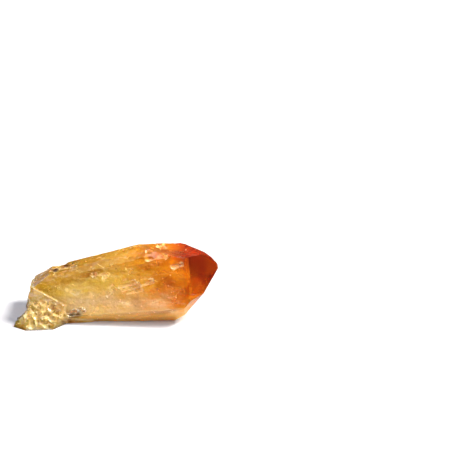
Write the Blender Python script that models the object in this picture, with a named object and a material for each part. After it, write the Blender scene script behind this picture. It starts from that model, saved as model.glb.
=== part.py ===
"""A citrine crystal point, lying on its side.

One natural quartz crystal. Its rough sides flare from a broken base towards six flat tip faces, and a
lump of broken quartz is left standing at the foot of the base. +X runs towards the tip, +Z is up, and
the origin is the middle of the crystal's footprint. Lengths in the tables are millimetres.
"""

import math

import bmesh
import bpy
from mathutils import Matrix, Vector, noise

OBJECT_NAME = "citrine_crystal_point"
MM = 0.001

# The c axis runs through CORE, rising and swinging a little away from +X as the crystal lies.
AXIS_RISE = 5.7
AXIS_SWING = 2.9
CORE = Vector((0.0, 6.2, 7.2))

# Each face: its turn about the axis from level (90 is up, 180 is towards -Y), its lean from the axis,
# and its distance from CORE. Sides that lean more than 90 degrees flare towards the tip.
REST_FACE = (270.0, 90.0 + AXIS_RISE, 7.2)
SIDE_FACES = {
    "front_low": (207.2, 94.0, 9.2),
    "front": (150.5, 93.9, 5.5),
    "front_bevel": (116.0, 97.5, 7.15),
    "top": (89.1, 100.0, 7.9),
    "top_shoulder": (84.4, 76.7, 10.55),
    "back_up": (30.5, 95.2, 6.6),
    "back_low": (331.6, 95.1, 6.6),
}
RHOMB_LEAN = 51.8
TIP_FACES = {
    "rhomb_front": (150.0, RHOMB_LEAN, 16.3),
    "rhomb_back": (30.0, RHOMB_LEAN, 16.8),
    "rhomb_bottom": (270.0, RHOMB_LEAN, 15.0),
    "top_wedge": (90.0, RHOMB_LEAN, 18.2),
    "front_wedge": (211.0, RHOMB_LEAN, 18.1),
    "back_wedge": (330.0, RHOMB_LEAN, 15.2),
}
BASE_BREAKS = {
    "break_main": (89.9, 159.2, 20.5),
    "break_top": (81.6, 118.6, 12.3),
}

# The lump at the foot of the base: each break is its outward direction and a point that it runs through.
FOOT_BREAKS = {
    "under": ((0.0, 0.0, -1.0), (0.0, 0.0, 0.0)),
    "ledge": ((0.37, -0.1, 0.9), (-12.75, -0.9, 4.6)),
    "slope": ((0.04, -0.77, 0.64), (-19.1, -4.75, 0.0)),
    "corner": ((-0.42, -0.75, 0.51), (-25.0, -3.4, 0.0)),
    "heel": ((-0.93, 0.1, 0.34), (-25.4, -2.0, 0.0)),
    "cliff": ((0.66, -0.72, 0.2), (-13.5, -2.6, 0.0)),
    "inside": ((-0.35, 0.9, 0.25), (-22.0, 4.0, 3.0)),
    "inside_end": ((1.0, 0.2, 0.0), (-10.5, 0.0, 0.0)),
}
# A low sliver that carries the lump's line on along the resting edge.
TOE_BREAKS = {
    "under": ((0.0, 0.0, -1.0), (0.0, 0.0, 0.0)),
    "crest": ((0.0, -0.45, 0.89), (-9.0, -1.6, 1.3)),
    "face": ((0.08, -0.97, 0.24), (-11.0, -1.5, 0.0)),
    "point": ((0.4, -0.9, 0.2), (-5.0, -0.55, 0.0)),
    "inside": ((0.0, 1.0, 0.0), (0.0, 3.0, 0.0)),
    "inside_start": ((-1.0, 0.0, 0.0), (-15.0, 0.0, 0.0)),
}

# Chips off the sides, longer along the crystal: distance along X, turn about the axis, width, depth.
SIDE_CHIPS = [
    (-14.6, 66.0, 2.2, 0.35),
    (-11.0, 86.0, 1.5, 0.55),
    (-15.4, 84.0, 1.4, 0.45),
    (-11.3, 203.0, 1.2, 0.60),
    (-9.2, 200.0, 1.0, 0.45),
    (10.2, 111.0, 3.6, 0.55),
    (15.2, 131.0, 1.6, 0.35),
    (-5.4, 124.0, 1.0, 0.30),
    (-2.5, 130.0, 1.1, 0.30),
    (-10.2, 161.0, 1.7, 0.35),
    (12.2, 76.0, 1.5, 0.40),
    (1.5, 44.0, 4.0, 0.55),
    (-8.0, 12.0, 5.0, 1.00),
    (6.5, 4.0, 6.0, 1.10),
    (-17.5, 350.0, 5.0, 0.80),
    (11.5, 312.0, 3.6, 0.70),
    (-6.0, 311.0, 3.0, 0.60),
]
CHIP_STRETCH = 1.7
# Chips out of the broken end: height and distance back of each one's middle, width, depth.
BASE_CHIPS = [
    (3.6, 1.2, 3.6, 0.30),
    (2.4, 6.2, 6.4, 0.70),
    (5.6, 3.6, 4.0, 0.45),
    (6.2, 7.6, 4.6, 0.60),
]
# Chips all over the lump, each cutting into its neighbours: the middle of each, width, depth.
FOOT_CHIPS = [
    ((-22.3, -1.5, 4.3), 2.4, 0.34),
    ((-20.2, -1.2, 4.5), 2.6, 0.42),
    ((-18.4, -1.4, 4.0), 3.0, 0.44),
    ((-16.4, -1.1, 4.4), 2.8, 0.44),
    ((-14.9, -1.8, 3.2), 2.2, 0.36),
    ((-21.6, -2.3, 3.1), 2.8, 0.44),
    ((-19.6, -2.6, 2.6), 2.6, 0.40),
    ((-17.3, -2.4, 2.8), 2.9, 0.46),
    ((-15.9, -2.6, 2.1), 2.5, 0.42),
    ((-23.2, -3.0, 1.9), 2.4, 0.34),
    ((-21.1, -3.4, 1.5), 3.0, 0.42),
    ((-18.7, -3.3, 1.5), 2.6, 0.40),
    ((-17.0, -3.3, 1.1), 2.2, 0.36),
]
# The rays that place the chips start inside the lump, and inside the base at this distance along X.
FOOT_MIDDLE = Vector((-16.0, 2.5, 1.0))
INSIDE_BASE_X = -10.0
# A chip's floor wanders by this share of its depth, in lumps this share of its width across.
CHIP_LUMPS = 1.5
CHIP_LUMP_SIZE = 0.45
FINE_STONE, COARSE_STONE = 3, 2

# Slanted growth steps in the front face, each sunk along one long edge and running out at the other:
# distance along X, turn about the axis, swing in the face, length, width, depth.
GROWTH_STEPS = [
    (2.7, 155.5, 7.0, 4.3, 1.0, 0.30),
    (3.5, 163.5, 6.0, 4.6, 1.1, 0.32),
    (4.3, 172.0, 7.0, 3.9, 1.0, 0.30),
    (-1.6, 168.0, 38.0, 3.0, 1.2, 0.28),
    (7.6, 157.0, 9.0, 3.2, 1.0, 0.26),
]
STEP_HEADROOM = 2.0

# Rough skin: cells about CELL long and SECTOR degrees wide, moved in and out by two scales of noise.
# A face whose direction is more than END_FACES_FROM along X is an end, and the others are sides.
CELL = 1.25
SECTOR = 9.0
END_FACES_FROM = 0.6
SWELL_SIZE = 6.0
SWELL_STRETCH = 2.0
SWELL_HEIGHT = 0.30
GRAIN_SIZE = 1.9
GRAIN_HEIGHT = 0.13
NOISE_SEED = 31.0

BLOCK_SIDE = 120.0
# An edge shorter than SMALLEST_EDGE is closed up, and a slice this near a corner runs through it.
SMALLEST_EDGE = 0.10
SLICE_SNAP = SMALLEST_EDGE / 4.0
ON_PLANE = 0.002

AXIS = Matrix.Rotation(math.radians(AXIS_SWING), 3, "Z") @ (
    Matrix.Rotation(math.radians(-AXIS_RISE), 3, "Y") @ Vector((1.0, 0.0, 0.0))
)
LEVEL = Matrix.Rotation(math.radians(AXIS_SWING), 3, "Z") @ Vector((0.0, 1.0, 0.0))
UPWARD = AXIS.cross(LEVEL)


def clear_scene():
    for old in list(bpy.data.objects):
        bpy.data.objects.remove(old, do_unlink=True)


def new_collection(name, parent):
    made = bpy.data.collections.new(name)
    parent.children.link(made)
    return made


def outward(turn, lean=90.0):
    """Direction at a turn about the c axis and a lean from it."""
    turn, lean = math.radians(turn), math.radians(lean)
    sideways = LEVEL * math.cos(turn) + UPWARD * math.sin(turn)
    return sideways * math.sin(lean) + AXIS * math.cos(lean)


def crystal_plane(turn, lean, reach):
    """A crystal face as a point on it and its outward direction."""
    direction = outward(turn, lean)
    return CORE + direction * reach, direction


def cut_block(planes):
    """A block with everything outside the planes cut away."""
    bm = bmesh.new()
    bmesh.ops.create_cube(bm, size=BLOCK_SIDE)
    for point, direction in planes:
        geometry = bm.verts[:] + bm.edges[:] + bm.faces[:]
        cut = bmesh.ops.bisect_plane(
            bm, geom=geometry, plane_co=point, plane_no=direction, clear_outer=True
        )
        rim = [item for item in cut["geom_cut"] if isinstance(item, bmesh.types.BMEdge)]
        if rim:
            bmesh.ops.contextual_create(bm, geom=rim)
    bmesh.ops.recalc_face_normals(bm, faces=bm.faces)
    return bm


def millimetres_to_object(bm, name, collection):
    bmesh.ops.scale(bm, vec=Vector((MM, MM, MM)), verts=bm.verts)
    mesh = bpy.data.meshes.new(name)
    bm.to_mesh(mesh)
    bm.free()
    made = bpy.data.objects.new(name, mesh)
    collection.objects.link(made)
    return made


def make_cutter(bm, name, collection):
    cutter = millimetres_to_object(bm, name, collection)
    cutter.hide_render = True
    cutter.display_type = "WIRE"
    return cutter


def crystal_planes():
    """Every face of the whole crystal, as planes."""
    faces = [REST_FACE, *SIDE_FACES.values(), *TIP_FACES.values(), *BASE_BREAKS.values()]
    return [crystal_plane(*face) for face in faces]


def break_planes(breaks):
    return [(Vector(point), Vector(direction).normalized()) for direction, point in breaks.values()]


def first_hit(planes, start, direction):
    """Where a line out of a convex body leaves it, and the outward direction there."""
    exits = []
    for point, normal in planes:
        speed = direction.dot(normal)
        if speed > 0.0:
            exits.append(((point - start).dot(normal) / speed, tuple(normal)))
    distance, normal = min(exits)
    return start + direction * distance, Vector(normal)


def along_surface(place, normal):
    """Axes at a place on the skin: along the crystal, across it, and outward."""
    along = (AXIS - normal * AXIS.dot(normal)).normalized()
    turned = Matrix((along, normal.cross(along), normal)).transposed().to_4x4()
    return Matrix.Translation(place) @ turned


def chip_stone(place, normal, width, depth, stretch=1.0):
    """A lumpy stone whose cap, width across and depth deep, sinks into the surface at place."""
    radius = ((width / 2.0) ** 2 + depth**2) / (2.0 * depth)
    bm = bmesh.new()
    subdivisions = FINE_STONE if radius > CELL else COARSE_STONE
    bmesh.ops.create_icosphere(bm, subdivisions=subdivisions, radius=radius)
    for vert in bm.verts:
        lumps = noise.noise(vert.co / (CHIP_LUMP_SIZE * width) + place)
        vert.co += vert.co.normalized() * (CHIP_LUMPS * depth * lumps)
    lifted = Matrix.Translation(Vector((0.0, 0.0, radius - depth)))
    longer = Matrix.Diagonal((stretch, 1.0, 1.0, 1.0))
    bm.transform(along_surface(place, normal) @ lifted @ longer)
    return bm


def axis_point(x):
    return CORE + AXIS * ((x - CORE.x) / AXIS.x)


def side_chips(planes):
    for x, turn, width, depth in SIDE_CHIPS:
        direction = outward(turn)
        place, _ = first_hit(planes, axis_point(x), direction)
        yield chip_stone(place, direction, width, depth, CHIP_STRETCH)


def base_chips(planes):
    for height, back, width, depth in BASE_CHIPS:
        start = Vector((INSIDE_BASE_X, back, height))
        place, normal = first_hit(planes, start, Vector((-1.0, 0.0, 0.0)))
        yield chip_stone(place, normal, width, depth)


def foot_chips(planes):
    for middle, width, depth in FOOT_CHIPS:
        ray = (Vector(middle) - FOOT_MIDDLE).normalized()
        place, normal = first_hit(planes, FOOT_MIDDLE, ray)
        yield chip_stone(place, normal, width, depth)


def growth_steps(planes):
    """Wedges sunk into the front face: the floor of each slopes up across it and towards one end."""
    for x, turn, swing, length, width, depth in GROWTH_STEPS:
        place, normal = first_hit(planes, axis_point(x), outward(turn))
        swung = Matrix.Rotation(math.radians(swing), 4, "Z")
        sloped = Matrix.Rotation(math.atan2(depth, width), 4, "X")
        raised = Matrix.Rotation(math.atan2(depth, length), 4, "Y")
        lifted = Matrix.Translation(Vector((0.0, 0.0, STEP_HEADROOM / 2.0 - depth / 2.0)))
        sized = Matrix.Diagonal((length, width, STEP_HEADROOM, 1.0))
        bm = bmesh.new()
        bmesh.ops.create_cube(
            bm, size=1.0, matrix=along_surface(place, normal) @ swung @ sloped @ raised @ lifted @ sized
        )
        yield bm


def chipped_crystal(crystal, lumps, chips):
    """The crystal joined to its lumps, with every chip taken out, as one mesh in millimetres."""
    for operation, operands in (("UNION", lumps), ("DIFFERENCE", chips)):
        boolean = crystal.modifiers.new(operands.name, "BOOLEAN")
        boolean.operation = operation
        boolean.solver = "EXACT"
        boolean.operand_type = "COLLECTION"
        boolean.collection = operands
    depsgraph = bpy.context.evaluated_depsgraph_get()
    bm = bmesh.new()
    bm.from_object(crystal, depsgraph)
    crystal.modifiers.clear()
    bmesh.ops.scale(bm, vec=Vector((1.0, 1.0, 1.0)) / MM, verts=bm.verts)
    return bm


def planes_under(verts, planes):
    """The planes that all of these vertices lie on."""
    return [
        (point, normal)
        for point, normal in planes
        if all(abs((vert.co - point).dot(normal)) < ON_PLANE for vert in verts)
    ]


def slice_faces(bm, wanted, cuts):
    """Slice the wanted faces by planes, so that they can be shaped."""
    for point, direction in cuts:
        faces = [face for face in bm.faces if wanted(face)]
        edges = {edge for face in faces for edge in face.edges}
        verts = {vert for face in faces for vert in face.verts}
        bmesh.ops.bisect_plane(
            bm, geom=[*verts, *edges, *faces], dist=SLICE_SNAP, plane_co=point, plane_no=direction
        )


def steps_between(low, high, step):
    count = math.ceil((high - low) / step)
    return [low + step * index for index in range(1, count)]


def slice_rough_skin(bm, flat_planes):
    """Cut the rough faces into cells: rings and sectors on the sides, a grid on the broken ends."""

    def rough(face):
        return not planes_under(face.verts, flat_planes)

    def side(face):
        return abs(face.normal.x) < END_FACES_FROM and rough(face)

    def end(face):
        return abs(face.normal.x) >= END_FACES_FROM and rough(face)

    places = [vert.co for vert in bm.verts]
    low = Vector([min(co[axis] for co in places) for axis in range(3)])
    high = Vector([max(co[axis] for co in places) for axis in range(3)])
    rings = [(Vector((x, 0, 0)), Vector((1, 0, 0))) for x in steps_between(low.x, high.x, CELL)]
    sectors = [(CORE, outward(turn)) for turn in steps_between(0.0, 180.0, SECTOR)]
    columns = [(Vector((0, y, 0)), Vector((0, 1, 0))) for y in steps_between(low.y, high.y, CELL)]
    rows = [(Vector((0, 0, z)), Vector((0, 0, 1))) for z in steps_between(low.z, high.z, CELL)]
    slice_faces(bm, side, rings + sectors)
    slice_faces(bm, end, columns + rows)
    bmesh.ops.dissolve_degenerate(bm, dist=SMALLEST_EDGE, edges=bm.edges)
    bmesh.ops.delete(bm, geom=[edge for edge in bm.edges if not edge.link_faces], context="EDGES")
    bmesh.ops.delete(bm, geom=[vert for vert in bm.verts if not vert.link_faces], context="VERTS")


def skin_height(place):
    """How far the rough skin stands out here: long swells along the crystal and a finer grain."""
    stretched = Vector((place.x / SWELL_STRETCH, place.y, place.z))
    swell = noise.noise(stretched / SWELL_SIZE + Vector((NOISE_SEED, 0, 0)))
    grain = noise.noise(place / GRAIN_SIZE - Vector((0, NOISE_SEED, 0)))
    return SWELL_HEIGHT * swell + GRAIN_HEIGHT * grain


def roughen(bm, flat_planes):
    """Move the rough skin in and out. A vertex on a flat face stays in it, and none sinks to the rest."""
    moves = {}
    for vert in bm.verts:
        flats = planes_under([vert], flat_planes)
        normals = [face.normal for face in vert.link_faces if not planes_under(face.verts, flat_planes)]
        if not normals or len(flats) > 1:
            continue
        move = sum(normals, Vector()).normalized() * skin_height(vert.co)
        for _, normal in flats:
            move -= normal * move.dot(normal)
        moves[vert] = move
    for vert, move in moves.items():
        halfway_down = vert.co.z / 2.0
        vert.co += move
        vert.co.z = max(vert.co.z, halfway_down)


def stand_on_origin(bm):
    """Put the middle of the footprint's box at the origin."""
    places = [vert.co for vert in bm.verts]
    middle_x = (min(co.x for co in places) + max(co.x for co in places)) / 2.0
    middle_y = (min(co.y for co in places) + max(co.y for co in places)) / 2.0
    lowest = min(co.z for co in places)
    bmesh.ops.translate(bm, vec=(-middle_x, -middle_y, -lowest), verts=bm.verts)


def citrine():
    """Clear golden quartz."""
    material = bpy.data.materials.new("citrine")
    material.use_nodes = True
    shader = material.node_tree.nodes["Principled BSDF"]
    shader.inputs["Base Color"].default_value = (0.72, 0.40, 0.09, 1.0)
    shader.inputs["Roughness"].default_value = 0.15
    shader.inputs["Metallic"].default_value = 0.0
    shader.inputs["IOR"].default_value = 1.55
    shader.inputs["Transmission Weight"].default_value = 0.6
    return material


def main():
    clear_scene()
    parts = new_collection(OBJECT_NAME, bpy.context.scene.collection)
    cutters = new_collection("cutters", bpy.context.scene.collection)
    lumps = new_collection("lumps", cutters)
    chips = new_collection("chips", cutters)

    whole, foot, toe = crystal_planes(), break_planes(FOOT_BREAKS), break_planes(TOE_BREAKS)
    crystal = millimetres_to_object(cut_block(whole), "crystal_point", parts)
    make_cutter(cut_block(foot), "foot_lump", lumps)
    make_cutter(cut_block(toe), "toe_lump", lumps)
    makers = ((side_chips, whole), (base_chips, whole), (growth_steps, whole), (foot_chips, foot))
    for maker, planes in makers:
        for bm in maker(planes):
            make_cutter(bm, maker.__name__, chips)

    bm = chipped_crystal(crystal, lumps, chips)
    flat_planes = [crystal_plane(*face) for face in (REST_FACE, *TIP_FACES.values())]
    slice_rough_skin(bm, flat_planes)
    roughen(bm, flat_planes)
    bmesh.ops.triangulate(bm, faces=bm.faces)
    stand_on_origin(bm)
    bmesh.ops.scale(bm, vec=Vector((MM, MM, MM)), verts=bm.verts)
    bmesh.ops.recalc_face_normals(bm, faces=bm.faces)
    bm.to_mesh(crystal.data)
    bm.free()
    crystal.data.materials.append(citrine())


main()
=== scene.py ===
"""The look of a citrine crystal point: a broken golden quartz crystal lying on a white table."""

import math
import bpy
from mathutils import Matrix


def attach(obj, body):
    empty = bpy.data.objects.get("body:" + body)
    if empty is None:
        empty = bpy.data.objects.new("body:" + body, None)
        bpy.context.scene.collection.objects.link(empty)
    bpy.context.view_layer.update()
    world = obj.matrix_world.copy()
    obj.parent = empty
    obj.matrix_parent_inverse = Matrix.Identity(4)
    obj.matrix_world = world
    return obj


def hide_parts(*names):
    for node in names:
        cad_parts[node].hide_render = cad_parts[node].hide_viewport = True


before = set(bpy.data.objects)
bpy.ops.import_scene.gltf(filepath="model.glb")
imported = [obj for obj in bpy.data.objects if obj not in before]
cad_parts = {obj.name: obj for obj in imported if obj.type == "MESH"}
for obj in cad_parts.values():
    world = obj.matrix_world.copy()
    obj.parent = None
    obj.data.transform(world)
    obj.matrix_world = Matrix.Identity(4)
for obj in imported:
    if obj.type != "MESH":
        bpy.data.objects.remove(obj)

from types import SimpleNamespace

import bmesh
import bpy
from mathutils import Vector

MM = 0.001

# Camera: a long lens looks down at the table along +Y. The crystal lies at the lower left of the frame.
VIEW_ELEVATION = 30.0
VIEW_WIDTH = 118.5 * MM
VIEW_AIM = Vector((30.1, 35.9, 0.0)) * MM
CRYSTAL_IS_NEARER = 35.0 * MM
LENS = 150.0
SENSOR = 36.0
NEAREST_SEEN = 10.0 * MM

# Table and light. The room pales between two heights that one looks at, where 0 is level and 1 straight up.
# Each softbox points at the crystal, and has a name, a place, a size, its watts and a colour.
TABLE_WIDTH = 4.0
TABLE_GAP = 0.02 * MM
ROOM_LOW, ROOM_OVERHEAD = "#5C5C62", "#A8AAB4"
ROOM_PALES = (0.3, 1.0)
ROOM_STRENGTH = 0.76
SOFTBOXES = [
    ("right_softbox", (0.36, 0.08, 0.40), 0.20, 8.6, "#FFFAF2"),
    ("top_softbox", (-0.06, -0.20, 0.60), 0.50, 3.0, "#F6F8FF"),
]

# Skin: an edge that turns more than EDGE_ANGLE stays an edge, sharp on flat faces, worn on the rough skin.
# A hollow that turns further than the angle given is painted pale, as frosting and as a painted highlight,
# and a flat larger than FLAT_AREA is a mirror.
EDGE_ANGLE = math.radians(22)
SHARP_EDGE, WORN_EDGE = 1.0, 0.55
FROST_GLINT_ANGLE = math.radians(15)
FLAT_ANGLE, FLAT_AREA = math.radians(0.05), 3.0 * MM**2
JOIN_ANGLE, JOIN_SKEW = math.radians(20), math.radians(60)
SAME_POINT = 0.001 * MM
SUBDIVISIONS = 2

# Relief in the rough skin: swells, growth lines and grain. Real growth lines are about 0.2 mm apart and
# the etched grain is finer than 0.1 mm, too fine to show, so both are drawn as coarse as they need to show.
SKIN_RELIEF = {
    "Swell Size": 4.5 * MM,
    "Swell Depth": 0.16 * MM,
    "Line Spacing": 1.0 * MM,
    "Line Depth": 0.09 * MM,
    "Grain Size": 1.0 * MM,
    "Grain Depth": 0.16 * MM,
}
# The inputs that size each, how it is drawn out along the crystal, and how many finer octaves it has.
RELIEF_FEATURES = [
    ("Swell Size", "Swell Depth", (0.5, 1.0, 1.0), 1.0),
    ("Line Spacing", "Line Depth", (0.12, 1.0, 1.0), 0.0),
    ("Grain Size", "Grain Depth", (1.0, 1.0, 1.0), 3.0),
]

# From here on, places and sizes without MM are in millimetres in the crystal. A pair of numbers is a limit:
# where a feature is 0 and where it is 1, as a place, a distance, or a value of the noise that breaks it up.

# Noises that cloud and fray the features: size, finer octaves, and how strong those are. The grain stands
# for etching finer than 0.1 mm, drawn coarse enough to show. Fibres are long along the crystal.
NOISES = {
    "clouds": (6.25, 3.0, 0.5),
    "wisps": (2.0, 5.0, 0.5),
    "grain": (0.625, 4.0, 0.5),
    "mottle": (1.1111, 6.0, 0.65),
}
FIBRE_WIDTH, FIBRE_OCTAVES = 1.6667, 6.0
FIBRE_STRETCH = (0.35, 1.0, 1.0)

# Growth colours from the root to the tip, each at a distance along the crystal.
ROOT, TIP = -25.0, 25.0
ZONE_LEAN, ZONE_WANDER, ZONE_SHIFT = 0.6, 8.0, -8.8
GROWTH_COLOURS = [
    (-25.0, "#C8B04C"),
    (-17.0, "#C8A238"),
    (-8.0, "#F4D860"),
    (0.0, "#F6D45A"),
    (6.0, "#F0BC3A"),
    (11.0, "#E8A216"),
    (14.5, "#E08A0A"),
    (18.0, "#E2880E"),
    (21.0, "#DA6A08"),
    (25.0, "#BC4402"),
]
# Colours that lie over them in patches: middle, radius, colour and strength. Three brown ones high on the top
# side are painted shade.
COLOUR_AND_SHADE_PATCHES = [
    ((12.9, -4.8, 10.5), 2.5, "#AC4A02", 0.75),
    ((-14.4, -6.4, 3.9), 2.1, "#B0841E", 0.60),
    ((10.4, -1.3, 15.6), 1.9, "#BC5A28", 0.65),
    ((12.3, -6.6, 7.0), 2.4, "#E2B878", 0.60),
    ((6.0, -6.9, 5.5), 2.8, "#B08C58", 0.50),
    # Painted shade: these three darken the top face under the top edge, where the softboxes light it
    # strongly.
    ((7.5, 1.0, 16.8), 3.2, "#B07418", 0.70),
    ((11.8, 1.4, 16.5), 2.8, "#9C4E0C", 0.75),
    ((15.2, 0.8, 16.4), 3.2, "#8A3404", 0.70),
    ((17.8, -1.4, 14.6), 2.8, "#701602", 0.65),
    ((17.6, -7.4, 5.4), 3.4, "#F4A418", 0.85),
    ((20.8, -3.8, 9.0), 1.8, "#F08A1C", 0.70),
    ((6.4, -7.2, 2.0), 2.6, "#FFC868", 0.50),
    ((-12.8, 1.0, 12.0), 1.6, "#7E4418", 0.75),
    ((-15.4, 0.9, 10.9), 1.5, "#7E5430", 0.60),
]

GOLD_BAND = "#C0901C"
TOP_EDGE_SLOPE, TOP_EDGE_HEIGHT = 0.24, 14.6
BAND_FRAY = 4.0
BAND_TOP, BAND_BOTTOM, BAND_END = (-3.0, 0.5), (5.6, 3.6), (6.0, -6.0)

RED_CAP = "#A43206"
CAP_SLOPE, CAP_FRAY = 1.2, 6.0
CAP_START = (34.0, 39.0)

# Pale of the resting edge: milk, and painted bounce light for a face that looks down at the table.
REST_MILK_AND_BOUNCE = "#FFC262"
REST_RISES_FROM, REST_RISE = 12.0, 0.55
REST_HEIGHT, REST_START, REST_END = (3.4, 1.6), (-11.5, -6.0), (22.5, 15.5)

VEIL = "#D2B486"
VEIL_SLOPE, VEIL_TOP, VEIL_FRAY = -0.05, 7.2, 4.0
VEIL_START, VEIL_END = (-17.0, -9.0), (18.0, 10.0)
VEIL_DEPTH, VEIL_BOTTOM = (-1.5, 4.0), (1.6, 4.0)
VEIL_FIBRES, VEIL_MOTTLE = (0.0, 0.6), (0.2, 0.5)
FOOT_START, FOOT_TOP, FOOT_FIBRES = (-12.0, -15.0), (7.5, 5.5), (0.35, 0.65)
FOOT_HAZE = 0.15

SMOKE = "#A87222"
SMOKE_MOTTLE, SMOKE_END = (0.50, 0.64), (16.0, 10.0)
PALE_FLECK = "#F6E09A"
FLECK_MOTTLE, FLECK_END = (0.47, 0.35), (12.0, 6.0)

# Pale cream of the marks: frosting and milky spots, and painted glints on the pits and along the hollows.
FROST_AND_GLINT = "#F4D898"
FROST_GLINT_START, FROST_GLINT_MOTTLE = (0.30, 0.90), (0.25, 0.55)

# Healed cracks are 0.02 mm wide, too fine to show, so they are drawn 0.1 mm wide.
CRACK_SPACING = 2.381
CRACK_SLANT = (0.0, math.radians(14), 0.0)
CRACK_STRETCH = (0.3, 1.0, 1.0)
CRACK_SHAKE, CRACK_FRAY = (0.5, 0.5, 0.5), 0.03
CRACK_RIM, CRACK_FIBRES, CRACK_END = (0.045, 0.015), (0.46, 0.66), (21.0, 13.0)

PIT_SPACING, PIT_FRAY = 1.613, 0.45
PIT_RIM, PIT_FIBRES = (0.37, 0.27), (0.5, 0.6)
PIT_CROWD = 0.25
CROWD_START, CROWD_END, CROWD_BOTTOM = (12.0, 15.0), (19.5, 17.5), (7.5, 9.5)

IRON_STAIN = "#4E3010"
SPECK_SPACING, SPECK_FRAY = 2.5, 0.3
SPECK_SHIFT = (7.3, 1.9, 4.1)
SPECK_RIM, SPECK_WISPS = (0.25, 0.18), (0.50, 0.60)

# Spots: middle and radius. How far the wisps fray a rim, and where it is 0 and 1, are in radii.
SPOT_FRAY, SPOT_EDGE, SPOT_FULL = 1.4, 1.7, 0.9
MILKY_SPOTS = [
    ((15.4, -2.9, 14.0), 1.0),
    ((-5.9, -5.3, 6.8), 1.6),
    ((-12.2, -4.2, 8.0), 0.9),
    ((2.9, -6.8, 5.6), 1.3),
]
STAINED_SPOTS = [
    ((-12.4, 1.2, 12.0), 0.9),
    ((-15.2, 0.9, 10.7), 0.8),
    ((-10.9, 1.6, 12.3), 0.6),
    ((-10.8, -7.5, 2.3), 1.5),
    ((-9.4, -7.4, 2.7), 1.2),
    ((-5.2, -2.5, 11.2), 0.35),
    ((0.1, -2.3, 13.0), 0.4),
    ((-2.4, -3.1, 11.3), 0.25),
    ((-14.1, -8.4, 2.2), 0.3),
]

# Clearness and gloss: of the rough skin, its milky places, the mirrors and the resting edge.
SKIN_CLEAR, MILK_CLEAR, MIRROR_CLEAR, REST_CLEAR = 0.68, 0.22, 0.88, 0.18
SKIN_ROUGHNESS, SATIN_ROUGHNESS, MIRROR_ROUGHNESS = 0.08, 0.30, 0.07
SATIN_WISPS = (0.25, 0.75)
# Fine relief: small scales, and pits, on top of the grain. The mirrors keep only a trace of it.
SCALE_WIDTH, SCALE_SHARE, PIT_SHARE = 0.9091, 0.5, -1.5
MIRROR_RELIEF = 0.05
BUMP_STRENGTH, BUMP_DEPTH = 0.8, 0.16 * MM


def linear(hex_colour):
    """An sRGB hex colour as linear RGBA."""
    channels = [int(hex_colour[i : i + 2], 16) / 255 for i in (1, 3, 5)]
    return tuple(c / 12.92 if c <= 0.04045 else ((c + 0.055) / 1.055) ** 2.4 for c in channels) + (1.0,)


def add_node(tree, kind, inputs=(), **settings):
    """Add a node with its settings. An input is given a value, a hex colour, or a node or output to link."""
    node = tree.nodes.new(kind)
    for name, value in settings.items():
        setattr(node, name, value)
    for key, value in inputs.items() if isinstance(inputs, dict) else enumerate(inputs):
        if isinstance(value, bpy.types.Node):
            value = value.outputs[0]
        if isinstance(value, bpy.types.NodeSocket):
            tree.links.new(value, node.inputs[key])
        else:
            node.inputs[key].default_value = linear(value) if str(value).startswith("#") else value
    return node


def new_material(name):
    """A new material, its tree and its shader."""
    material = bpy.data.materials.new(name)
    material.use_nodes = True
    return material, material.node_tree, material.node_tree.nodes["Principled BSDF"]


def region(tree, *limits):
    """1 where every value is past its limit, eased to 0. A limit is (value, where it is 0, where it is 1)."""
    share = 1.0
    for value, nothing, full in limits:
        eased = add_node(
            tree,
            "ShaderNodeMapRange",
            {"Value": value, "From Min": nothing, "From Max": full},
            interpolation_type="SMOOTHSTEP",
        )
        share = add_node(tree, "ShaderNodeMath", [share, eased], operation="MULTIPLY")
    return share


def spots(tree, at, middles):
    """1 in the middle of each spot and 0 past its ragged rim."""
    total = 0.0
    for middle, radius in middles:
        distance = add_node(tree, "ShaderNodeVectorMath", [at.place, middle], operation="DISTANCE")
        frayed = add_node(
            tree,
            "ShaderNodeMath",
            [at.wisps, SPOT_FRAY * radius, distance.outputs["Value"]],
            operation="MULTIPLY_ADD",
        )
        spot = region(tree, (frayed, SPOT_EDGE * radius, SPOT_FULL * radius))
        total = add_node(tree, "ShaderNodeMath", [total, spot], operation="MAXIMUM")
    return total


def places_on_crystal(tree):
    """Places in millimetres, what the mesh says of its faces, and the noises that fray things."""
    at = SimpleNamespace()
    coordinates = add_node(tree, "ShaderNodeTexCoord").outputs["Object"]
    at.place = add_node(tree, "ShaderNodeVectorMath", {0: coordinates, "Scale": 1.0 / MM}, operation="SCALE")
    at.long_way = add_node(tree, "ShaderNodeVectorMath", [at.place, FIBRE_STRETCH], operation="MULTIPLY")
    at.x, _, at.z = add_node(tree, "ShaderNodeSeparateXYZ", [at.place]).outputs
    at.polish = add_node(tree, "ShaderNodeAttribute", attribute_name="polish").outputs["Fac"]
    at.bruise = add_node(tree, "ShaderNodeAttribute", attribute_name="bruise").outputs["Fac"]
    at.rough = add_node(tree, "ShaderNodeMath", [1.0, at.polish], operation="SUBTRACT", use_clamp=True)
    for name, (size, octaves, strength) in NOISES.items():
        shape = {"Vector": at.place, "Scale": 1.0 / size, "Detail": octaves, "Roughness": strength}
        setattr(at, name, add_node(tree, "ShaderNodeTexNoise", shape))
    fibre_shape = {"Vector": at.long_way, "Scale": 1.0 / FIBRE_WIDTH, "Detail": FIBRE_OCTAVES}
    at.fibres = add_node(tree, "ShaderNodeTexNoise", fibre_shape)
    return at


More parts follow.
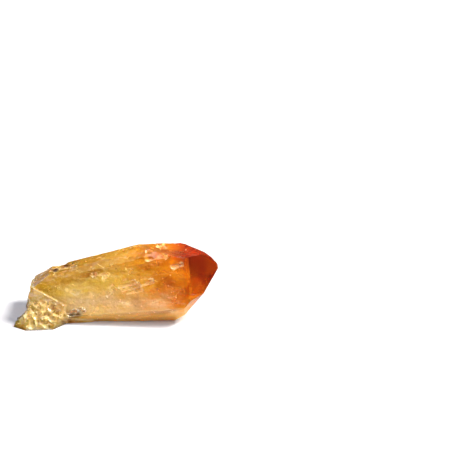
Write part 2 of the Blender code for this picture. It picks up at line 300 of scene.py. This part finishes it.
def growth_colour(tree, at):
    """The zones that it grew in, each into the next. They reach further back along the top than low down."""
    leaning = add_node(tree, "ShaderNodeMath", [at.z, ZONE_LEAN, at.x], operation="MULTIPLY_ADD")
    wander = add_node(tree, "ShaderNodeMath", [at.clouds, ZONE_WANDER, ZONE_SHIFT], operation="MULTIPLY_ADD")
    zone = add_node(tree, "ShaderNodeMath", [leaning, wander], operation="ADD")
    share = add_node(tree, "ShaderNodeMapRange", {"Value": zone, "From Min": ROOT, "From Max": TIP})
    ramp = add_node(tree, "ShaderNodeValToRGB", {"Fac": share})
    stops = ramp.color_ramp.elements
    while len(stops) < len(GROWTH_COLOURS):
        stops.new(1.0)
    for stop, (x, colour) in zip(stops, GROWTH_COLOURS):
        stop.position = (x - ROOT) / (TIP - ROOT)
        stop.color = linear(colour)
    return ramp


def gold_band(tree, at):
    """A golden brown band, frayed, that runs under the top edge from the base."""
    edge = [at.x, TOP_EDGE_SLOPE, TOP_EDGE_HEIGHT]
    top_edge = add_node(tree, "ShaderNodeMath", edge, operation="MULTIPLY_ADD")
    below_top = add_node(tree, "ShaderNodeMath", [top_edge, at.z], operation="SUBTRACT")
    frayed = add_node(tree, "ShaderNodeMath", [at.wisps, BAND_FRAY, below_top], operation="MULTIPLY_ADD")
    return region(tree, (frayed, *BAND_TOP), (frayed, *BAND_BOTTOM), (at.x, *BAND_END))


def red_cap(tree, at):
    """The last growth, deep red: it caps the upper side of the tip, with a frayed lower edge."""
    upward = add_node(tree, "ShaderNodeMath", [at.z, CAP_SLOPE, at.x], operation="MULTIPLY_ADD")
    frayed = add_node(tree, "ShaderNodeMath", [at.wisps, CAP_FRAY, upward], operation="MULTIPLY_ADD")
    return region(tree, (frayed, *CAP_START))


def resting_edge(tree, at):
    """The thin edge along the rest, clouded pale and lightened further as painted bounce light from the table
    under it, which rises under the tip and fades there.
    """
    past = add_node(tree, "ShaderNodeMath", [at.x, REST_RISES_FROM], operation="SUBTRACT")
    rising = add_node(tree, "ShaderNodeMath", [past, 0.0], operation="MAXIMUM")
    above_rest = add_node(tree, "ShaderNodeMath", [rising, -REST_RISE, at.z], operation="MULTIPLY_ADD")
    return region(tree, (above_rest, *REST_HEIGHT), (at.x, *REST_START), (at.x, *REST_END))


def milky_veil(tree, at):
    """Fine sheets of tiny bubbles, low down, that turn clear quartz to milk, and a faint haze in the foot."""
    veil_top = add_node(tree, "ShaderNodeMath", [at.x, VEIL_SLOPE, VEIL_TOP], operation="MULTIPLY_ADD")
    below_top = add_node(tree, "ShaderNodeMath", [veil_top, at.z], operation="SUBTRACT")
    frayed = add_node(tree, "ShaderNodeMath", [at.fibres, VEIL_FRAY, below_top], operation="MULTIPLY_ADD")
    veil = region(
        tree,
        (at.x, *VEIL_START),
        (at.x, *VEIL_END),
        (frayed, *VEIL_DEPTH),
        (at.z, *VEIL_BOTTOM),
        (at.fibres, *VEIL_FIBRES),
        (at.mottle, *VEIL_MOTTLE),
    )
    foot = region(tree, (at.x, *FOOT_START), (at.z, *FOOT_TOP), (at.fibres, *FOOT_FIBRES))
    return add_node(tree, "ShaderNodeMath", [foot, FOOT_HAZE, veil], operation="MULTIPLY_ADD", use_clamp=True)


def healed_cracks(tree, at):
    """Bright threads, where old cracks reach the skin, in patches and slanting up the crystal."""
    slant = {"Vector": at.place, "Rotation": CRACK_SLANT, "Scale": CRACK_STRETCH}
    slanted = add_node(tree, "ShaderNodeMapping", slant)
    shake = [at.wisps.outputs["Color"], CRACK_SHAKE, slanted]
    shaken = add_node(tree, "ShaderNodeVectorMath", shake, operation="MULTIPLY_ADD")
    cells = {"Vector": shaken, "Scale": 1.0 / CRACK_SPACING}
    sheets = add_node(tree, "ShaderNodeTexVoronoi", cells, feature="DISTANCE_TO_EDGE")
    frayed = add_node(tree, "ShaderNodeMath", [at.grain, CRACK_FRAY, sheets], operation="MULTIPLY_ADD")
    threads = region(tree, (frayed, *CRACK_RIM), (at.fibres, *CRACK_FIBRES), (at.x, *CRACK_END))
    return add_node(tree, "ShaderNodeMath", [threads, at.rough], operation="MULTIPLY")


def skin_pits(tree, at):
    """Pits 0.3 mm across, in patches, and more of them on the top near the tip. Their pale colour is a
    painted glint.
    """
    near_tip = region(tree, (at.x, *CROWD_START), (at.x, *CROWD_END), (at.z, *CROWD_BOTTOM))
    crowded = add_node(tree, "ShaderNodeMath", [near_tip, PIT_CROWD, at.fibres], operation="MULTIPLY_ADD")
    middles = add_node(tree, "ShaderNodeTexVoronoi", {"Vector": at.place, "Scale": 1.0 / PIT_SPACING})
    ragged = add_node(tree, "ShaderNodeMath", [at.grain, PIT_FRAY, middles], operation="MULTIPLY_ADD")
    pits = region(tree, (ragged, *PIT_RIM), (crowded, *PIT_FIBRES))
    return add_node(tree, "ShaderNodeMath", [pits, at.rough], operation="MULTIPLY")


def iron_specks(tree, at):
    """Specks of iron rust 0.3 mm across, in patches."""
    shifted = add_node(tree, "ShaderNodeVectorMath", [at.place, SPECK_SHIFT])
    middles = add_node(tree, "ShaderNodeTexVoronoi", {"Vector": shifted, "Scale": 1.0 / SPECK_SPACING})
    ragged = add_node(tree, "ShaderNodeMath", [at.grain, SPECK_FRAY, middles], operation="MULTIPLY_ADD")
    specks = region(tree, (ragged, *SPECK_RIM), (at.wisps, *SPECK_WISPS))
    return add_node(tree, "ShaderNodeMath", [specks, at.rough], operation="MULTIPLY")


def citrine_quartz():
    """Citrine, a clear quartz that traces of iron colour: straw at its root, amber, then red at the tip.

    It grew with milky veils low down. Its rough sides are satin, and its tip faces are mirrors.
    """
    material, tree, shader = new_material("citrine_quartz")
    at = places_on_crystal(tree)
    resting = resting_edge(tree, at)
    veil = milky_veil(tree, at)
    pits = skin_pits(tree, at)
    # Pale at sharp hollows: frosting, and a painted highlight along their edges.
    bruises = region(tree, (at.bruise, *FROST_GLINT_START), (at.mottle, *FROST_GLINT_MOTTLE))
    pale_marks_and_glints = stains = 0.0
    for where in (bruises, spots(tree, at, MILKY_SPOTS), healed_cracks(tree, at), pits):
        pale_marks_and_glints = add_node(tree, "ShaderNodeMath", [pale_marks_and_glints, where], operation="MAXIMUM")
    for where in (spots(tree, at, STAINED_SPOTS), iron_specks(tree, at)):
        stains = add_node(tree, "ShaderNodeMath", [stains, where], operation="MAXIMUM")
    smoke = region(tree, (at.mottle, *SMOKE_MOTTLE), (at.x, *SMOKE_END))
    flecks = region(tree, (at.mottle, *FLECK_MOTTLE), (at.x, *FLECK_END))

    # Colour: the growth zones, and what lies over them in turn, each with its strength. Among them are
    # painted shade on the top side, painted bounce light on the resting edge and painted glints in the pale
    # marks.
    layers = [
        (gold_band(tree, at), GOLD_BAND, 0.85),
        (red_cap(tree, at), RED_CAP, 0.90),
        (smoke, SMOKE, 0.40),
        (flecks, PALE_FLECK, 0.45),
        (resting, REST_MILK_AND_BOUNCE, 0.85),
        (veil, VEIL, 0.90),
        # The pale marks: milky spots, frosting and cracks, with painted glints on the pits and hollows.
        (pale_marks_and_glints, FROST_AND_GLINT, 0.65),
    ]
    for middle, radius, tint, strength in COLOUR_AND_SHADE_PATCHES:
        layers.append((spots(tree, at, [(middle, radius)]), tint, strength))
    layers.append((stains, IRON_STAIN, 0.90))
    colour = growth_colour(tree, at)
    for where, tint, strength in layers:
        share = add_node(tree, "ShaderNodeMath", [where, strength], operation="MULTIPLY")
        colour = add_node(tree, "ShaderNodeMix", {0: share, 6: colour, 7: tint}, data_type="RGBA").outputs[2]
    tree.links.new(colour, shader.inputs["Base Color"])

    # How clear it is: the mirrors are clearest, and milk, the pale marks and the resting edge cloud it.
    milk = add_node(tree, "ShaderNodeMath", [veil, pale_marks_and_glints], operation="MAXIMUM")
    skin_clear = add_node(tree, "ShaderNodeMix", {0: milk, 2: SKIN_CLEAR, 3: MILK_CLEAR})
    clear = add_node(tree, "ShaderNodeMix", {0: at.polish, 2: skin_clear, 3: MIRROR_CLEAR})
    hazy_rest = add_node(tree, "ShaderNodeMix", {0: resting, 2: clear, 3: REST_CLEAR})
    tree.links.new(hazy_rest.outputs[0], shader.inputs["Transmission Weight"])

    # Gloss and fine relief: the rough skin is satin in patches, with scales, grain and pits in it.
    patches = region(tree, (at.wisps, *SATIN_WISPS))
    satin = add_node(tree, "ShaderNodeMix", {0: patches, 2: SKIN_ROUGHNESS, 3: SATIN_ROUGHNESS})
    gloss = add_node(tree, "ShaderNodeMix", {0: at.polish, 2: satin, 3: MIRROR_ROUGHNESS})
    tree.links.new(gloss.outputs[0], shader.inputs["Roughness"])
    scales = add_node(tree, "ShaderNodeTexVoronoi", {"Vector": at.long_way, "Scale": 1.0 / SCALE_WIDTH})
    skin = add_node(tree, "ShaderNodeMath", [scales, SCALE_SHARE, at.grain], operation="MULTIPLY_ADD")
    skin = add_node(tree, "ShaderNodeMath", [pits, PIT_SHARE, skin], operation="MULTIPLY_ADD")
    unpolished = add_node(tree, "ShaderNodeMix", {0: at.polish, 2: 1.0, 3: MIRROR_RELIEF})
    height = add_node(tree, "ShaderNodeMath", [skin, unpolished], operation="MULTIPLY")
    relief = {"Height": height, "Strength": BUMP_STRENGTH, "Distance": BUMP_DEPTH}
    tree.links.new(add_node(tree, "ShaderNodeBump", relief).outputs[0], shader.inputs["Normal"])

    # Quartz bends light as 1.55. Light that scatters in it, and what it absorbs of blue, warm its depths.
    shader.inputs["IOR"].default_value = 1.55
    shader.inputs["Specular IOR Level"].default_value = 0.35
    shader.inputs["Subsurface Weight"].default_value = 1.0
    shader.inputs["Subsurface Radius"].default_value = (1.0, 0.85, 0.5)
    shader.inputs["Subsurface Scale"].default_value = 2.5 * MM
    absorption = add_node(tree, "ShaderNodeVolumeAbsorption", {"Color": "#FFF060", "Density": 110.0})
    tree.links.new(absorption.outputs[0], tree.nodes["Material Output"].inputs["Volume"])
    return material


def white_acrylic():
    """Matt white acrylic sheet, cast, with a faint satin."""
    material, _, shader = new_material("matt_white_acrylic")
    shader.inputs["Base Color"].default_value = linear("#C0C0C4")
    shader.inputs["Roughness"].default_value = 0.6
    return material


def skin_relief_tree():
    """Swells, lines along the crystal and a fine grain, all sunk into the rough skin."""
    tree = bpy.data.node_groups.new("skin_relief", "GeometryNodeTree")
    tree.interface.new_socket("Geometry", in_out="INPUT", socket_type="NodeSocketGeometry")
    for name in SKIN_RELIEF:
        tree.interface.new_socket(name, in_out="INPUT", socket_type="NodeSocketFloat")
    tree.interface.new_socket("Material", in_out="INPUT", socket_type="NodeSocketMaterial")
    tree.interface.new_socket("Geometry", in_out="OUTPUT", socket_type="NodeSocketGeometry")
    given = add_node(tree, "NodeGroupInput").outputs
    position = add_node(tree, "GeometryNodeInputPosition")

    depth = 0.0
    for size, deepest, stretch, octaves in RELIEF_FEATURES:
        frequency = add_node(tree, "ShaderNodeMath", [1.0, given[size]], operation="DIVIDE")
        shaped = add_node(tree, "ShaderNodeVectorMath", [position, stretch], operation="MULTIPLY")
        scaled = add_node(tree, "ShaderNodeVectorMath", {0: shaped, "Scale": frequency}, operation="SCALE")
        noise = add_node(tree, "ShaderNodeTexNoise", {"Vector": scaled, "Scale": 1.0, "Detail": octaves})
        depth = add_node(tree, "ShaderNodeMath", [noise, given[deepest], depth], operation="MULTIPLY_ADD")

    polish = add_node(tree, "GeometryNodeInputNamedAttribute", {"Name": "polish"}, data_type="FLOAT")
    rough = add_node(tree, "ShaderNodeMath", [1.0, polish], operation="SUBTRACT", use_clamp=True)
    rough_depth = add_node(tree, "ShaderNodeMath", [depth, rough], operation="MULTIPLY")
    inward = add_node(tree, "ShaderNodeMath", [rough_depth, -1.0], operation="MULTIPLY")
    normal = add_node(tree, "GeometryNodeInputNormal")
    offset = add_node(tree, "ShaderNodeVectorMath", {0: normal, "Scale": inward}, operation="SCALE")
    moved = add_node(tree, "ShaderNodeVectorMath", [position, offset], operation="ADD")
    # None of it goes below the surface that it rests on. The -1 metres let X and Y through as they are.
    kept_up = add_node(tree, "ShaderNodeVectorMath", [moved, (-1.0, -1.0, 0.0)], operation="MAXIMUM")
    sunk = add_node(tree, "GeometryNodeSetPosition", {"Geometry": given["Geometry"], "Position": kept_up})
    real = add_node(tree, "GeometryNodeRealizeInstances", [sunk])
    finished = add_node(tree, "GeometryNodeSetMaterial", {"Geometry": real, "Material": given["Material"]})
    add_node(tree, "NodeGroupOutput", [finished])
    return tree


def set_inputs(modifier, values):
    """Set a Geometry Nodes modifier's inputs, each by the identifier of the socket with its name."""
    for socket in modifier.node_group.interface.items_tree:
        if socket.name in values:
            modifier[socket.identifier] = values[socket.name]


def joined_flats(bm):
    """Make each flat stretch one face again, and the rest of the skin four-sided where it can be."""
    flat = [edge for edge in bm.edges if edge.calc_face_angle(math.pi) < FLAT_ANGLE]
    bmesh.ops.dissolve_edges(bm, edges=flat, use_verts=False)
    polish = bm.verts.layers.float.new("polish")
    mirrors = [face for face in bm.faces if face.calc_area() > FLAT_AREA]
    for vert in {vert for face in mirrors for vert in face.verts}:
        vert[polish] = 1.0
    bmesh.ops.triangulate(bm, faces=[face for face in bm.faces if len(face.verts) > 4])
    bmesh.ops.join_triangles(
        bm, faces=bm.faces, angle_face_threshold=JOIN_ANGLE, angle_shape_threshold=JOIN_SKEW
    )
    return polish


def crystal_point(node, material):
    """The solid's skin, rounded between its edges and given its relief."""
    bm = bmesh.new()
    bm.from_mesh(node.data)
    bmesh.ops.remove_doubles(bm, verts=bm.verts, dist=SAME_POINT)
    bmesh.ops.recalc_face_normals(bm, faces=bm.faces)
    polish = joined_flats(bm)
    crease = bm.edges.layers.float.new("crease_edge")
    # A weight for the pale paint in hollows: frosting, and a painted highlight along the edges.
    bruise = bm.verts.layers.float.new("bruise")
    for edge in bm.edges:
        if edge.calc_face_angle(0.0) > EDGE_ANGLE:
            mirror_edge = all(vert[polish] for vert in edge.verts)
            edge[crease] = SHARP_EDGE if mirror_edge else WORN_EDGE
        hollow = -edge.calc_face_angle_signed(0.0) / FROST_GLINT_ANGLE - 1.0
        for vert in edge.verts:
            vert[bruise] = max(vert[bruise], min(hollow, 1.0 - vert[polish]))
    mesh = bpy.data.meshes.new("citrine_point")
    bm.to_mesh(mesh)
    bm.free()
    piece = bpy.data.objects.new("citrine_point", mesh)
    bpy.context.scene.collection.objects.link(piece)
    smooth = piece.modifiers.new("smooth", "SUBSURF")
    smooth.levels = smooth.render_levels = SUBDIVISIONS
    relief = piece.modifiers.new("relief", "NODES")
    relief.node_group = skin_relief_tree()
    set_inputs(relief, {**SKIN_RELIEF, "Material": material})
    finished = bpy.data.meshes.new_from_object(piece.evaluated_get(bpy.context.evaluated_depsgraph_get()))
    piece.modifiers.clear()
    piece.data = finished
    finished.shade_smooth()
    finished.set_sharp_from_angle(angle=EDGE_ANGLE)
    return piece


def lay_table():
    """A wide sheet just under the crystal."""
    bpy.ops.mesh.primitive_plane_add(size=TABLE_WIDTH, location=(0.0, 0.0, -TABLE_GAP))
    table = bpy.context.object
    table.name = "table"
    table.data.materials.append(white_acrylic())


def hang_softbox(name, place, size, watts, colour):
    """A round softbox that points at the crystal."""
    light = bpy.data.lights.new(name, "AREA")
    light.shape = "DISK"
    light.size = size
    light.energy = watts
    light.color = linear(colour)[:3]
    lamp = bpy.data.objects.new(name, light)
    lamp.location = place
    lamp.rotation_euler = (-Vector(place)).to_track_quat("-Z", "Y").to_euler()
    bpy.context.scene.collection.objects.link(lamp)


def light_studio():
    """A grey room, paler overhead, with one softbox high at the right and one overhead in front."""
    world = bpy.data.worlds.new("studio")
    bpy.context.scene.world = world
    world.use_nodes = True
    tree = world.node_tree
    direction = add_node(tree, "ShaderNodeTexCoord").outputs["Generated"]
    height = add_node(tree, "ShaderNodeSeparateXYZ", [direction]).outputs["Z"]
    overhead = region(tree, (height, *ROOM_PALES))
    shades = {0: overhead, 6: ROOM_LOW, 7: ROOM_OVERHEAD}
    room = add_node(tree, "ShaderNodeMix", shades, data_type="RGBA")
    tree.links.new(room.outputs[2], tree.nodes["Background"].inputs["Color"])
    tree.nodes["Background"].inputs["Strength"].default_value = ROOM_STRENGTH
    for softbox in SOFTBOXES:
        hang_softbox(*softbox)


def set_up_camera():
    """A camera that looks down at VIEW_AIM and stands back by as much as the crystal is nearer than that."""
    camera = bpy.data.cameras.new("camera")
    camera.lens = LENS
    camera.sensor_width = SENSOR
    camera.clip_start = NEAREST_SEEN
    distance = LENS / SENSOR * VIEW_WIDTH + CRYSTAL_IS_NEARER
    tilt = math.radians(VIEW_ELEVATION)
    holder = bpy.data.objects.new("camera", camera)
    holder.location = VIEW_AIM + Vector((0.0, -math.cos(tilt), math.sin(tilt))) * distance
    holder.rotation_euler = (math.pi / 2 - tilt, 0.0, 0.0)
    bpy.context.scene.collection.objects.link(holder)
    bpy.context.scene.camera = holder


def main():
    """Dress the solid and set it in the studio."""
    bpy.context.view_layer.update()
    bpy.context.scene.view_settings.view_transform = "Standard"
    crystal = crystal_point(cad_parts["crystal_point"], citrine_quartz())
    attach(crystal, "root")
    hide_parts("crystal_point")
    lay_table()
    light_studio()
    set_up_camera()


main()
